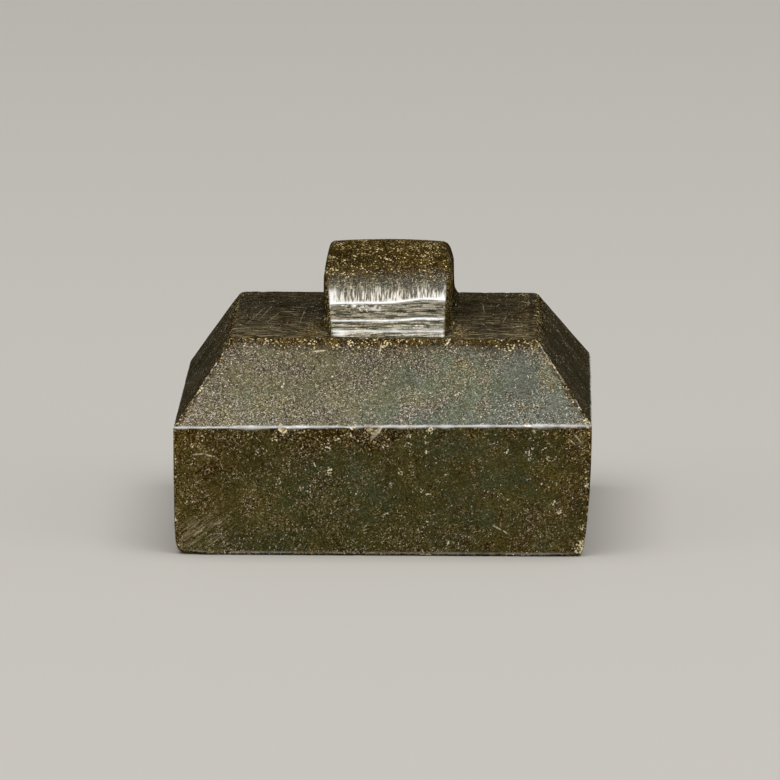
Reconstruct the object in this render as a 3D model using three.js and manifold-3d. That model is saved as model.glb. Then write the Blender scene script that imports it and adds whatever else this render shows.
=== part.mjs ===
// A square hardstone seal with a sloping shoulder and a pierced bridge knob.
//
// The real seal is one carved stone. It is modelled as the four regions that a seal cutter lays out
// and finishes one after another, lying face to face: the printing face, the square block, the
// four-sided shoulder with its flat top, and the knob. Nothing on it moves.
//
// Millimetres. X runs from left to right, Y from front to back and Z up. The origin is on the table
// under the middle of the block.

import * as THREE from 'three';
import { mergeVertices } from 'three/addons/utils/BufferGeometryUtils.js';
import Module from 'manifold-3d';

// Block. Width and depth are taken at the shoulder line, the widest place. Each wall leans in a
// little from there down to the printing face.
const BLOCK_WIDTH = 23.0;
const BLOCK_DEPTH = 23.0;
const SHOULDER_HEIGHT = 7.3;
const LEAN_LEFT = 0.1;
const LEAN_RIGHT = 0.5;
const LEAN_FRONT = 0.15;
const LEAN_BACK = 0.15;

// The shoulder line was cut by eye: how far each corner stands above or below SHOULDER_HEIGHT.
const RISE_FRONT_LEFT = -0.2;
const RISE_FRONT_RIGHT = 0.03;
const RISE_BACK_LEFT = -0.25;
const RISE_BACK_RIGHT = 0.3;

// Shoulder. The slope rises from the shoulder line and runs in to the flat top.
const SLOPE_RISE = 4.32;
const SLOPE_RUN_SIDES = 3.06;
const SLOPE_RUN_ENDS = 3.14;
const WALL_UNDER_SHOULDER = 0.87;

// Wear. Radii of the four upright edges, and the width of the worn bands along the other edges.
const EDGE_FRONT_LEFT = 0.4;
const EDGE_FRONT_RIGHT = 0.15;
const EDGE_BACK_RIGHT = 0.25;
const EDGE_BACK_LEFT = 0.3;
const EDGE_STEPS = 4;
const WEAR_BASE = 0.17;
const WEAR_SHOULDER = 0.12;
const WEAR_TOP = 0.12;

// Printing face. Square spirals are cut into it, one in each quarter, inside a raised border and
// either side of a raised cross.
const FACE_THICKNESS = 1.4;
const FACE_BORDER = 1.3;
const FACE_CROSS = 1.1;
const GROOVE_WIDTH = 0.9;
const GROOVE_SPACING = 0.9;
const GROOVE_DEPTH = 0.6;

// Knob. Its height is above the flat top, and its two feet stop short of the top's front and back
// edges. The arch's outline is part of a circle that meets each foot at a ridge.
const KNOB_HEIGHT = 4.21;
const KNOB_OFFSET = 0.22;
const FOOT_SETBACK = 0.5;
const ARCH_RADIUS = 6.7;
const ARCH_STEPS = 40;
const RIDGE_RISE = 1.62;
const STEP_RISE = 0.83;
const STEP_RUN = 0.75;
const BAND_RISE = 0.29;
const BAND_LEAN = 0.26;

// Knob widths from side to side: across the arch, across its crown, across the front foot, across
// the front ridge, and where the sides flare out to meet the flat top.
const ARCH_WIDTH = 7.24;
const ARCH_SIDES_RISE = 2.55;
const CROWN_WIDTH = 6.5;
const FOOT_WIDTH = 6.47;
const RIDGE_WIDTH = 6.72;
const FLARE_WIDTH = 7.76;
const FLARE_RISE = 0.8;
const FLARE_START = 3.4;
const CURVE_STEPS = 8;

// Hole for a cord, which runs from left to right under the arch.
const HOLE_WIDTH = 6.46;
const CROWN_THICKNESS = 2.0;
const HOLE_LEGS = 0.8;
const CUT_MARGIN = 1.0;

const TOP_WIDTH = BLOCK_WIDTH - 2 * SLOPE_RUN_SIDES;
const TOP_DEPTH = BLOCK_DEPTH - 2 * SLOPE_RUN_ENDS;
const TOP_HEIGHT = SHOULDER_HEIGHT + SLOPE_RISE;

const wasm = await Module();
wasm.setup();

function toSolid(geometry) {
  const bare = geometry.clone();
  bare.deleteAttribute('normal');
  bare.deleteAttribute('uv');
  const merged = mergeVertices(bare, 1e-4);
  return new wasm.Manifold(
    new wasm.Mesh({
      numProp: 3,
      vertProperties: new Float32Array(merged.attributes.position.array),
      triVerts: new Uint32Array(merged.index.array),
    }),
  );
}

function toGeometry(solid) {
  const mesh = solid.getMesh();
  const geometry = new THREE.BufferGeometry();
  geometry.setAttribute('position', new THREE.BufferAttribute(mesh.vertProperties, 3));
  geometry.setIndex(new THREE.BufferAttribute(mesh.triVerts, 1));
  geometry.computeVertexNormals();
  return geometry;
}

// One level outline of the stone, anticlockwise from above: a rectangle set in from the block's
// sides, with the worn upright edges as arcs. Every outline has the same number of points.
function outline(inset, height) {
  const left = -BLOCK_WIDTH / 2 + inset.left;
  const right = BLOCK_WIDTH / 2 - inset.right;
  const front = -BLOCK_DEPTH / 2 + inset.front;
  const back = BLOCK_DEPTH / 2 - inset.back;
  const corners = [
    { x: left, y: front, radius: EDGE_FRONT_LEFT, sideX: 1, sideY: 1, from: Math.PI },
    { x: right, y: front, radius: EDGE_FRONT_RIGHT, sideX: -1, sideY: 1, from: 1.5 * Math.PI },
    { x: right, y: back, radius: EDGE_BACK_RIGHT, sideX: -1, sideY: -1, from: 0 },
    { x: left, y: back, radius: EDGE_BACK_LEFT, sideX: 1, sideY: -1, from: 0.5 * Math.PI },
  ];
  return corners.flatMap((corner) =>
    Array.from({ length: EDGE_STEPS + 1 }, (_, step) => {
      const angle = corner.from + (0.5 * Math.PI * step) / EDGE_STEPS;
      const x = corner.x + corner.radius * (corner.sideX + Math.cos(angle));
      const y = corner.y + corner.radius * (corner.sideY + Math.sin(angle));
      return new THREE.Vector3(x, y, height(x, y));
    }),
  );
}

// Height of the shoulder line at a place, between the heights of its four corners.
function shoulderHeight(x, y) {
  const across = x / BLOCK_WIDTH + 0.5;
  const along = y / BLOCK_DEPTH + 0.5;
  const front = THREE.MathUtils.lerp(RISE_FRONT_LEFT, RISE_FRONT_RIGHT, across);
  const back = THREE.MathUtils.lerp(RISE_BACK_LEFT, RISE_BACK_RIGHT, across);
  return SHOULDER_HEIGHT + THREE.MathUtils.lerp(front, back, along);
}

const lean = { left: LEAN_LEFT, right: LEAN_RIGHT, front: LEAN_FRONT, back: LEAN_BACK };
const none = { left: 0, right: 0, front: 0, back: 0 };
const run = { left: SLOPE_RUN_SIDES, right: SLOPE_RUN_SIDES, front: SLOPE_RUN_ENDS, back: SLOPE_RUN_ENDS };
const grown = (inset, extra) => ({
  left: inset.left + extra,
  right: inset.right + extra,
  front: inset.front + extra,
  back: inset.back + extra,
});

const baseLine = outline(lean, () => 0);
const shoulderLine = outline(none, shoulderHeight);
const topLine = outline(run, () => TOP_HEIGHT);

// The outline of the walls at one height above the table.
function wallAt(height) {
  return baseLine.map((low, index) => {
    const point = low.clone().lerp(shoulderLine[index], height / shoulderLine[index].z);
    return point.setZ(height);
  });
}

// The outline of the slope, from 0 at the shoulder line to 1 at the flat top.
function slopeAt(share) {
  return shoulderLine.map((low, index) => low.clone().lerp(topLine[index], share));
}

// The outline of the walls just under the shoulder line, which it follows up and down.
function wallUnderShoulder(drop) {
  return shoulderLine.map((high, index) => {
    const share = (high.z - drop) / high.z;
    return baseLine[index].clone().lerp(high, share);
  });
}

// A closed solid through outlines from the lowest to the highest, with its two ends closed.
function loft(outlines) {
  const count = outlines[0].length;
  const index = [];
  for (let ring = 0; ring + 1 < outlines.length; ring += 1) {
    for (let side = 0; side < count; side += 1) {
      const low = ring * count + side;
      const lowNext = ring * count + ((side + 1) % count);
      index.push(low, lowNext, lowNext + count, low, lowNext + count, low + count);
    }
  }
  const last = (outlines.length - 1) * count;
  for (let side = 1; side + 1 < count; side += 1) {
    index.push(0, side + 1, side);
    index.push(last, last + side, last + side + 1);
  }
  const geometry = new THREE.BufferGeometry().setFromPoints(outlines.flat());
  geometry.setIndex(index);
  geometry.computeVertexNormals();
  return geometry;
}

// The printing face: a slab with a worn lower edge, cut with one square spiral in each quarter.
function printingFace() {
  const slab = loft([outline(grown(lean, WEAR_BASE), () => 0), wallAt(WEAR_BASE), wallAt(FACE_THICKNESS)]);
  const middle = new THREE.Vector2((LEAN_LEFT - LEAN_RIGHT) / 2, (LEAN_FRONT - LEAN_BACK) / 2);
  const edge = WEAR_BASE + FACE_BORDER + FACE_CROSS / 2;
  const quarter = new THREE.Vector2(
    (BLOCK_WIDTH - LEAN_LEFT - LEAN_RIGHT) / 2 - edge,
    (BLOCK_DEPTH - LEAN_FRONT - LEAN_BACK) / 2 - edge,
  );
  let solid = toSolid(slab);
  for (const sideX of [-1, 1]) {
    for (const sideY of [-1, 1]) {
      for (const stroke of spiralStrokes(quarter)) {
        const box = new THREE.BoxGeometry(stroke.width, stroke.depth, 2 * GROOVE_DEPTH);
        box.translate(
          middle.x + sideX * (FACE_CROSS / 2 + stroke.x),
          middle.y + sideY * (FACE_CROSS / 2 + stroke.y),
          0,
        );
        solid = solid.subtract(toSolid(box));
      }
    }
  }
  return toGeometry(solid);
}

// The strokes of one square spiral, each a box with its centre and its size in a quarter of the
// face. The spiral starts at the corner beside the cross, goes round the quarter and winds inwards.
function spiralStrokes(quarter) {
  const pitch = GROOVE_WIDTH + GROOVE_SPACING;
  const half = GROOVE_WIDTH / 2;
  const path = [new THREE.Vector2(half, half)];
  for (let turn = 0; ; turn += 1) {
    const low = half + turn * pitch;
    const highX = quarter.x - low;
    const highY = quarter.y - low;
    const ends = [
      new THREE.Vector2(highX, low),
      new THREE.Vector2(highX, highY),
      new THREE.Vector2(low, highY),
      new THREE.Vector2(low, low + pitch),
    ];
    if (Math.min(highX, highY) - low < pitch) {
      break;
    }
    path.push(...ends);
  }
  return path.slice(1).map((end, index) => ({
    x: (path[index].x + end.x) / 2,
    y: (path[index].y + end.y) / 2,
    width: Math.abs(end.x - path[index].x) + GROOVE_WIDTH,
    depth: Math.abs(end.y - path[index].y) + GROOVE_WIDTH,
  }));
}

// The block: four plain walls between the printing face and the shoulder.
function dieBlock() {
  return loft([wallAt(FACE_THICKNESS), wallAt(SHOULDER_HEIGHT - WALL_UNDER_SHOULDER)]);
}

// The shoulder: a strip of wall, the worn shoulder edge, the four slopes and the flat top.
function shoulder() {
  const slopeLength = Math.hypot(SLOPE_RISE, (SLOPE_RUN_SIDES + SLOPE_RUN_ENDS) / 2);
  return loft([
    wallAt(SHOULDER_HEIGHT - WALL_UNDER_SHOULDER),
    wallUnderShoulder(WEAR_SHOULDER),
    slopeAt(WEAR_SHOULDER / slopeLength),
    slopeAt(1 - WEAR_TOP / slopeLength),
    outline(grown(run, WEAR_TOP), () => TOP_HEIGHT),
  ]);
}

// Extrudes an outline drawn in Y and Z along X, evenly to both sides.
function acrossKnob(shape, width) {
  const geometry = new THREE.ExtrudeGeometry(shape, {
    depth: width,
    bevelEnabled: false,
    curveSegments: ARCH_STEPS,
  });
  geometry.translate(0, 0, -width / 2);
  const axes = new THREE.Matrix4().makeBasis(
    new THREE.Vector3(0, 1, 0),
    new THREE.Vector3(0, 0, 1),
    new THREE.Vector3(1, 0, 0),
  );
  return geometry.applyMatrix4(axes);
}

// The knob as seen from its side: two feet of two facets each, and the arch between the ridges.
function knobSideView() {
  const foot = TOP_DEPTH / 2 - FOOT_SETBACK;
  const band = foot - BAND_LEAN;
  const step = band - STEP_RUN;
  const centre = KNOB_HEIGHT - ARCH_RADIUS;
  const start = Math.asin((RIDGE_RISE - centre) / ARCH_RADIUS);
  const shape = new THREE.Shape();
  shape.moveTo(-foot, 0);
  shape.lineTo(foot, 0);
  shape.lineTo(band, BAND_RISE);
  shape.lineTo(step, STEP_RISE);
  shape.lineTo(ARCH_RADIUS * Math.cos(start), RIDGE_RISE);
  shape.absarc(0, centre, ARCH_RADIUS, start, Math.PI - start, false);
  shape.lineTo(-step, STEP_RISE);
  shape.lineTo(-band, BAND_RISE);
  return shape;
}

// The knob as seen from the front: flared where it meets the top, upright, then narrower upwards.
function knobFrontView() {
  const shape = new THREE.Shape();
  shape.moveTo(-FLARE_WIDTH / 2, 0);
  shape.lineTo(FLARE_WIDTH / 2, 0);
  shape.quadraticCurveTo(ARCH_WIDTH / 2, 0, ARCH_WIDTH / 2, FLARE_RISE);
  shape.lineTo(ARCH_WIDTH / 2, ARCH_SIDES_RISE);
  shape.lineTo(CROWN_WIDTH / 2, KNOB_HEIGHT);
  shape.lineTo(CROWN_WIDTH / 2, KNOB_HEIGHT + CUT_MARGIN);
  shape.lineTo(-CROWN_WIDTH / 2, KNOB_HEIGHT + CUT_MARGIN);
  shape.lineTo(-CROWN_WIDTH / 2, KNOB_HEIGHT);
  shape.lineTo(-ARCH_WIDTH / 2, ARCH_SIDES_RISE);
  shape.lineTo(-ARCH_WIDTH / 2, FLARE_RISE);
  shape.quadraticCurveTo(-ARCH_WIDTH / 2, 0, -FLARE_WIDTH / 2, 0);
  return shape;
}

// The knob as seen from above: the front foot is narrow, and it widens behind the front ridge.
function knobPlanView() {
  const foot = TOP_DEPTH / 2 - FOOT_SETBACK + CUT_MARGIN;
  const centre = KNOB_HEIGHT - ARCH_RADIUS;
  const ridge = Math.sqrt(ARCH_RADIUS ** 2 - (RIDGE_RISE - centre) ** 2);
  const shape = new THREE.Shape();
  shape.moveTo(-FOOT_WIDTH / 2, -foot);
  shape.lineTo(FOOT_WIDTH / 2, -foot);
  shape.lineTo(RIDGE_WIDTH / 2, -ridge);
  shape.lineTo(FLARE_WIDTH / 2, -FLARE_START);
  shape.lineTo(FLARE_WIDTH / 2, foot);
  shape.lineTo(-FLARE_WIDTH / 2, foot);
  shape.lineTo(-FLARE_WIDTH / 2, -FLARE_START);
  shape.lineTo(-RIDGE_WIDTH / 2, -ridge);
  return shape;
}

// The hole under the arch: upright legs, then half an ellipse.
function holeSideView() {
  const rise = KNOB_HEIGHT - CROWN_THICKNESS - HOLE_LEGS;
  const shape = new THREE.Shape();
  shape.moveTo(-HOLE_WIDTH / 2, -CUT_MARGIN);
  shape.lineTo(HOLE_WIDTH / 2, -CUT_MARGIN);
  shape.lineTo(HOLE_WIDTH / 2, HOLE_LEGS);
  shape.absellipse(0, HOLE_LEGS, HOLE_WIDTH / 2, rise, 0, Math.PI, false);
  shape.lineTo(-HOLE_WIDTH / 2, -CUT_MARGIN);
  return shape;
}

// The knob: what the views from the side, the front and above have in common, less the hole.
function bridgeKnob() {
  const cutWidth = FLARE_WIDTH + 2 * CUT_MARGIN;
  const side = acrossKnob(knobSideView(), cutWidth);
  const hole = acrossKnob(holeSideView(), cutWidth + 2 * CUT_MARGIN);
  const frontDepth = TOP_DEPTH + 2 * CUT_MARGIN;
  const front = new THREE.ExtrudeGeometry(knobFrontView(), {
    depth: frontDepth,
    bevelEnabled: false,
    curveSegments: CURVE_STEPS,
  });
  front.translate(0, 0, -frontDepth / 2);
  front.rotateX(Math.PI / 2);
  const plan = new THREE.ExtrudeGeometry(knobPlanView(), {
    depth: KNOB_HEIGHT + 2 * CUT_MARGIN,
    bevelEnabled: false,
  });
  plan.translate(0, 0, -CUT_MARGIN);
  const solid = toSolid(side).intersect(toSolid(front)).intersect(toSolid(plan)).subtract(toSolid(hole));
  return toGeometry(solid);
}

function addRegion(group, name, geometry, color, roughness) {
  const material = new THREE.MeshStandardMaterial({ color, roughness, metalness: 0 });
  const mesh = new THREE.Mesh(geometry, material);
  mesh.name = name;
  group.add(mesh);
  return mesh;
}

const seal = new THREE.Group();
seal.name = 'seal_stamp';
addRegion(seal, 'printing_face', printingFace(), 0x3f3a24, 0.5);
addRegion(seal, 'die_block', dieBlock(), 0x4b4830, 0.38);
addRegion(seal, 'shoulder', shoulder(), 0x57553f, 0.34);
const knob = addRegion(seal, 'bridge_knob', bridgeKnob(), 0x5a4f34, 0.36);
knob.position.set(KNOB_OFFSET, 0, TOP_HEIGHT);

export default seal;
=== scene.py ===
import math

import bpy
import numpy as np
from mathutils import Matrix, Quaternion, Vector


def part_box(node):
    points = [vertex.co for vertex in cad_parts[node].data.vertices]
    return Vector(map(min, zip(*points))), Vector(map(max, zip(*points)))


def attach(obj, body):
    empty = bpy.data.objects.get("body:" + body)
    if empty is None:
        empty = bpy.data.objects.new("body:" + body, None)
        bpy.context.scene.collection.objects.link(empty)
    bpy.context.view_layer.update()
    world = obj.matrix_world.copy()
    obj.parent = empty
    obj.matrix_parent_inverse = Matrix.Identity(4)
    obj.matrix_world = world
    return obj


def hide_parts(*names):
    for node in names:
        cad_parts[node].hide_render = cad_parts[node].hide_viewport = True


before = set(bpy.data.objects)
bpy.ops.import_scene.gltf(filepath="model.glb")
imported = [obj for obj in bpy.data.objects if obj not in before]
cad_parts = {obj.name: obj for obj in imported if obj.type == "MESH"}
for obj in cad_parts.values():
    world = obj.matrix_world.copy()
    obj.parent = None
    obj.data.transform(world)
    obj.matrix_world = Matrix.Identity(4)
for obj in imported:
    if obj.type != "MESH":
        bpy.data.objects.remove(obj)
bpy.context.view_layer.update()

MM = 0.001


# Camera
# The seal is seen almost square on and from a little above, through a long lens.
AZIMUTH = math.radians(1.07)
ELEVATION = math.radians(9.5)
ROLL = math.radians(0.11)
DISTANCE = 0.4896
AIM = Vector((0.0002, 0.0, 0.00732))

towards_eye = Vector((
    math.sin(AZIMUTH) * math.cos(ELEVATION),
    -math.cos(AZIMUTH) * math.cos(ELEVATION),
    math.sin(ELEVATION),
))
lens = bpy.data.cameras.new("camera")
lens.lens = 403.3
lens.sensor_width = 36.0
lens.clip_start = 0.02
lens.clip_end = 20.0
camera = bpy.data.objects.new("camera", lens)
camera.location = AIM + DISTANCE * towards_eye
camera.rotation_mode = "QUATERNION"
camera.rotation_quaternion = (-towards_eye).to_track_quat("-Z", "Y") @ Quaternion((0, 0, 1), ROLL)
bpy.context.scene.collection.objects.link(camera)
bpy.context.scene.camera = camera


# The stone's finish
# One piece of dark olive, jade-like stone: cloudy grey-green and blue-grey, rust-brown where it has
# weathered, and full of fine pale grains. It is ground by hand, waxed by handling and worn along its
# arrises, whose thin bright lines are painted highlights.
def tint(red, green, blue):
    """A colour given as it looks, from 0 to 255, as the linear light that shaders use."""
    parts = [((c / 255 + 0.055) / 1.055) ** 2.4 if c > 10 else c / 3294 for c in (red, green, blue)]
    return (*parts, 1.0)


class Wire:
    """One output in a material's node tree. Python's operators on wires add Math nodes to the tree."""

    def __init__(self, tree, socket):
        self.tree = tree
        self.socket = socket

    def node(self, kind, settings, values, output=0):
        """Adds a node of this kind, sets its settings and then its sockets, and returns one output."""
        made = self.tree.nodes.new(kind)
        for name, value in settings.items():
            if name == "stops":
                fill_ramp(made.color_ramp, value)
            else:
                setattr(made, name, value)
        for name, value in values.items():
            socket = made.inputs[name]
            if isinstance(value, Wire):
                self.tree.links.new(value.socket, socket)
            else:
                socket.default_value = value
        return Wire(self.tree, made.outputs[output])

    def other(self, output):
        """Another output of the node that this wire leaves."""
        return Wire(self.tree, self.socket.node.outputs[output])

    def math(self, operation, *others):
        """A Math node's result for this wire and the others."""
        values = {index: value for index, value in enumerate((self, *others))}
        return self.node("ShaderNodeMath", {"operation": operation}, values)

    def __add__(self, other):
        return self.math("ADD", other)

    def __sub__(self, other):
        return self.math("SUBTRACT", other)

    def __mul__(self, other):
        return self.math("MULTIPLY", other)

    def __truediv__(self, other):
        return self.math("DIVIDE", other)

    def __pow__(self, other):
        return self.math("POWER", other)

    def __rsub__(self, other):
        return self.node("ShaderNodeMath", {"operation": "SUBTRACT"}, {0: other, 1: self})

    __radd__ = __add__
    __rmul__ = __mul__

    def limited(self):
        """The value held between 0 and 1."""
        return self.node("ShaderNodeMath", {"operation": "ADD", "use_clamp": True}, {0: self, 1: 0.0})

    def between(self, low, high):
        """0 below low, 1 above high, and a smooth rise between them."""
        settings = {"interpolation_type": "SMOOTHSTEP"}
        return self.node("ShaderNodeMapRange", settings, {"Value": self, "From Min": low, "From Max": high})

    def blend(self, under, over):
        """A colour: under where this wire is 0, over where it is 1."""
        values = {0: self, 6: under, 7: over}
        return self.node("ShaderNodeMix", {"data_type": "RGBA"}, values, output=2)

    def times(self, vector):
        """A vector with each of its three parts multiplied."""
        return self.node("ShaderNodeVectorMath", {"operation": "MULTIPLY"}, {0: self, 1: vector})

    def shifted(self, vector):
        """A vector with another one added."""
        return self.node("ShaderNodeVectorMath", {"operation": "ADD"}, {0: self, 1: vector})

    def turned(self, angles):
        """A vector turned by three angles in degrees."""
        values = {"Vector": self, "Rotation": tuple(math.radians(angle) for angle in angles)}
        return self.node("ShaderNodeMapping", {}, values)

    def clouds(self, per_mm, detail=3.0, roughness=0.5, distortion=0.0):
        """Noise from 0 to 1 at the places that this vector wire gives."""
        values = {
            "Vector": self,
            "Scale": per_mm,
            "Detail": detail,
            "Roughness": roughness,
            "Distortion": distortion,
        }
        return self.node("ShaderNodeTexNoise", {}, values)

    def cells(self, per_mm):
        """Irregular cells: the distance to the middle of the nearest one, and that cell's own number."""
        values = {"Vector": self, "Scale": per_mm}
        distance = self.node("ShaderNodeTexVoronoi", {}, values, output="Distance")
        number = distance.node("ShaderNodeSeparateColor", {}, {0: distance.other("Color")})
        return distance, number

    def flecks(self, per_mm):
        """Cells that are so many to the millimetre along each axis, each with a number of its own."""
        return self.times(per_mm).cells(1.0)[1]

    def grains(self, per_mm, chosen, reach):
        """Small round grains in a chosen share of cells, each 1 at its middle and 0 past its reach."""
        distance, number = self.cells(per_mm)
        return number.math("LESS_THAN", chosen) * (1 - distance / reach).limited()


def fill_ramp(ramp, stops):
    """Gives a colour ramp its stops, each a place and a colour."""
    while len(ramp.elements) > 1:
        ramp.elements.remove(ramp.elements[-1])
    for index, (place, colour) in enumerate(stops):
        element = ramp.elements[0] if index == 0 else ramp.elements.new(place)
        element.position = place
        element.color = colour


def stone_finish():
    """The stone's material. The clouds, stains and grains are worked out in millimetres on the object."""
    material = bpy.data.materials.new("olive_stone")
    material.use_nodes = True
    tree = material.node_tree
    shader = tree.nodes["Principled BSDF"]
    start = tree.nodes.new("ShaderNodeTexCoord")
    place = Wire(tree, start.outputs["Object"]).times((1000, 1000, 1000))

    def painted(name):
        """A value that was painted on the mesh's points."""
        return place.node("ShaderNodeAttribute", {"attribute_name": name}, {}, output="Fac")

    arris_highlight = painted("arris_highlight")
    stain = painted("stain")
    chip = painted("chip")
    ground_across = painted("ground_across")
    ground_along = painted("ground_along")
    dark_skin_and_shade = painted("dark_skin_and_shade")
    polish = painted("polish")
    tan = painted("tan")
    worn = painted("worn")

    # Slow clouds of colour in the stone, olive to grey-green, and bluer to the right. Over them lie warm
    # patches of ochre and russet, more of them to the left. Where lit is 1, on the front slope and on the
    # knob's feet and lower arch, these colours come from paler copies: painted sheen from the lamp above.
    cloud = place.shifted((7.3, 2.1, 5.5)).clouds(0.24, 3, 0.55, 0.5)
    mottle = place.shifted((1.7, 9.2, 3.1)).clouds(1.5, 4, 0.6, 0.3)
    patch = place.shifted((8.1, 1.2, 2.2)).clouds(0.65, 5, 0.62, 0.5)
    to_right = place.node("ShaderNodeSeparateXYZ", {}, {0: place})
    lit = (polish * 5).limited()
    shade = cloud * 0.6 + mottle * 0.25 + to_right * (0.002 + 0.01 * lit) + 0.075
    on_walls = [
        (0.36, tint(85, 72, 29)),
        (0.45, tint(79, 72, 32)),
        (0.54, tint(73, 72, 38)),
        (0.63, tint(69, 73, 49)),
    ]
    # Paler, bluer copies of the wall colours for the lit faces: painted sheen.
    lit_colours_on_slopes = [
        (0.36, tint(106, 98, 60)),
        (0.45, tint(98, 99, 65)),
        (0.54, tint(93, 99, 74)),
        (0.62, tint(94, 98, 83)),
    ]
    body = shade.node("ShaderNodeValToRGB", {"stops": on_walls}, {"Fac": shade})
    bright = shade.node("ShaderNodeValToRGB", {"stops": lit_colours_on_slopes}, {"Fac": shade})
    body = lit.blend(body, bright)
    lean = (to_right * to_right * 0.0005 + to_right * 0.002) * (1 - lit) - to_right * 0.006 * lit
    warm = (patch + lean + worn * 0.05).between(0.47, 0.6)
    ochre = place.shifted((4.4, 0.3, 8.8)).clouds(0.55, 3, 0.6, 0.3).between(0.42, 0.58)
    earth = ochre.blend(tint(84, 62, 26), tint(88, 72, 22))
    # A paler copy of the ochre and russet for the lit faces: painted sheen.
    earth = lit.blend(earth, ochre.blend(tint(106, 91, 70), tint(110, 98, 52)))
    body = (warm * (0.5 + 0.3 * lit)).blend(body, earth)

    # Rust-brown weathering, in small patches and along the edges where it was painted on, and a near-black
    # skin that on the side and back slopes is painted shade.
    rust_cloud = place.shifted((3.9, 6.1, 0.7)).clouds(1.1, 6, 0.7, 0.6)
    rust = (rust_cloud + stain * 0.24).between(0.56, 0.66)
    crumbs = place.shifted((5.1, 3.3, 1.9)).cells(13)[1]
    amber = stain.blend(tint(78, 60, 12), tint(122, 93, 16))
    amber = mottle.between(0.38, 0.62).blend(tint(44, 30, 3), amber)
    body = (tan * 0.9).blend(body, amber)
    pitted = place.shifted((9.1, 4.4, 6.2)).clouds(2.8, 4, 0.65).between(0.585, 0.66)
    pitted = pitted * (0.35 + 0.65 * stain).limited()
    body = (pitted * 0.8 * (1 - lit)).blend(body, tint(42, 28, 4))
    body = (rust * 0.85).blend(body, crumbs.between(0.6, 0.9).blend(tint(44, 28, 4), tint(140, 116, 60)))
    # Near-black on the flat top, the knob's sides and its hole, and on the side and back slopes, where it is
    # painted shade.
    body = (dark_skin_and_shade * 0.95).blend(body, rust_cloud.blend(tint(21, 14, 3), tint(35, 27, 12)))

    # Fine grain: tiny strokes, each with a brightness of its own, lying one way in some patches and the
    # other way in the rest. It is strong and full of bright specks in the warm patches and faint over the
    # calmer ground. The brightest specks are partly pale grains in the stone and partly painted glints.
    dense = (patch - to_right * 0.002 + polish * 0.3 + worn * 0.1 + lit * 0.03).between(0.36, 0.76)
    one_way = place.turned((0, 36, 0)).flecks((14, 23, 23))
    other_way = place.turned((0, -42, 0)).flecks((14, 23, 23))
    grit = one_way + (other_way - one_way) * mottle.between(0.47, 0.53)
    bright_grit = grit ** 9.0
    sand = place.clouds(7, 2, 0.6)
    broad = place.shifted((6.6, 4.9, 2.7)).clouds(0.3, 3, 0.6)
    depth = (0.95 + 0.75 * dense) * (1 - 0.15 * lit)
    grainy = 0.93 - 0.08 * dense + depth * (grit - 0.5)
    body = body.times(grainy * (0.84 + 0.3 * sand) * (0.35 + 1.3 * broad))
    # Pale specks where the grit is brightest: partly grains, partly painted glints.
    pale = tan.blend(tint(240, 229, 198), tint(240, 214, 146))
    body = (bright_grit * (0.05 + 0.3 * dense)).blend(body, pale)
    # Painted light and shade: darker near the middle from side to side, lighter towards either side.
    body = body.times(0.92 + to_right * to_right * 0.0014)
    sown = (dense * (1 - lit * 0.5) + tan * 0.6).limited()
    # Pale dots, partly pale grains and partly painted glints on the rims of pits, each with a dark dot just
    # beside it that is a painted shadow in the pit.
    dots = place.shifted((0.3, 0.6, 0.9)).grains(5.6, sown * 0.3 + 0.02, 0.21).between(0.1, 0.45)
    beside = place.shifted((0.35, 0.6, 0.86)).grains(5.6, sown * 0.3 + 0.02, 0.34).between(0.1, 0.5)
    body = (beside * 0.7).blend(body, tint(28, 18, 4))
    body = (dots * 0.95).blend(body, tan.blend(tint(255, 252, 238), tint(255, 236, 182)))
    body = (crumbs.between(0.22, 0.1) * tan * 0.7).blend(body, tint(24, 15, 2))
    body = (crumbs.between(0.92, 0.97) * tan * mottle.between(0.4, 0.6)).blend(body, tint(250, 230, 170))

    # Broken flecks: clusters of cream bits with dark pits between them, most of all where tan was painted.
    cluster = place.shifted((2.2, 7.7, 4.1)).clouds(1.5, 3, 0.7, 0.5) + stain * 0.06 + tan * 0.07
    cluster = cluster.between(0.63, 0.68)
    body = (cluster * crumbs.between(0.35, 0.15) * 0.8).blend(body, tint(26, 17, 4))
    cream = tan.blend(tint(244, 234, 206), tint(244, 222, 168))
    body = (cluster * crumbs.between(0.7, 0.92)).blend(body, cream)

    # Thin scratches lying in several directions, and close ones side by side where they were painted on.
    strewn = dense * (0.8 - 0.4 * lit) * (1 - 0.6 * tan)
    scratch = 0
    for angles, thin, share in (
        ((0, 38, 12), (5.0, 22, 22), 0.12),
        ((8, -52, -20), (5.2, 22, 22), 0.12),
        ((0, 8, 35), (4.0, 22, 22), 0.08),
        ((6, 74, 10), (4.6, 22, 22), 0.08),
        ((0, 24, -8), (1.1, 22, 22), 0.03),
    ):
        chosen = strewn * share + 0.006
        scratch = scratch + place.turned(angles).times(thin).grains(1.0, chosen, 0.45).between(0.1, 0.55)
    hatch = painted("hatch") * place.turned((0, 38, 0)).flecks((1.3, 9, 19)).between(0.55, 0.95)
    scratch = (scratch * (1 - 0.7 * dark_skin_and_shade) + hatch * 0.36).limited()
    body = (scratch * 0.7).blend(body, pale)
    filed = place.flecks((2.4, 9, 9)).between(0.72, 0.97) * (ground_across * 4).limited() * dark_skin_and_shade
    filed = filed * (0.4 + 1.2 * broad)
    body = (filed * 0.5).blend(body, tint(224, 204, 156))

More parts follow.
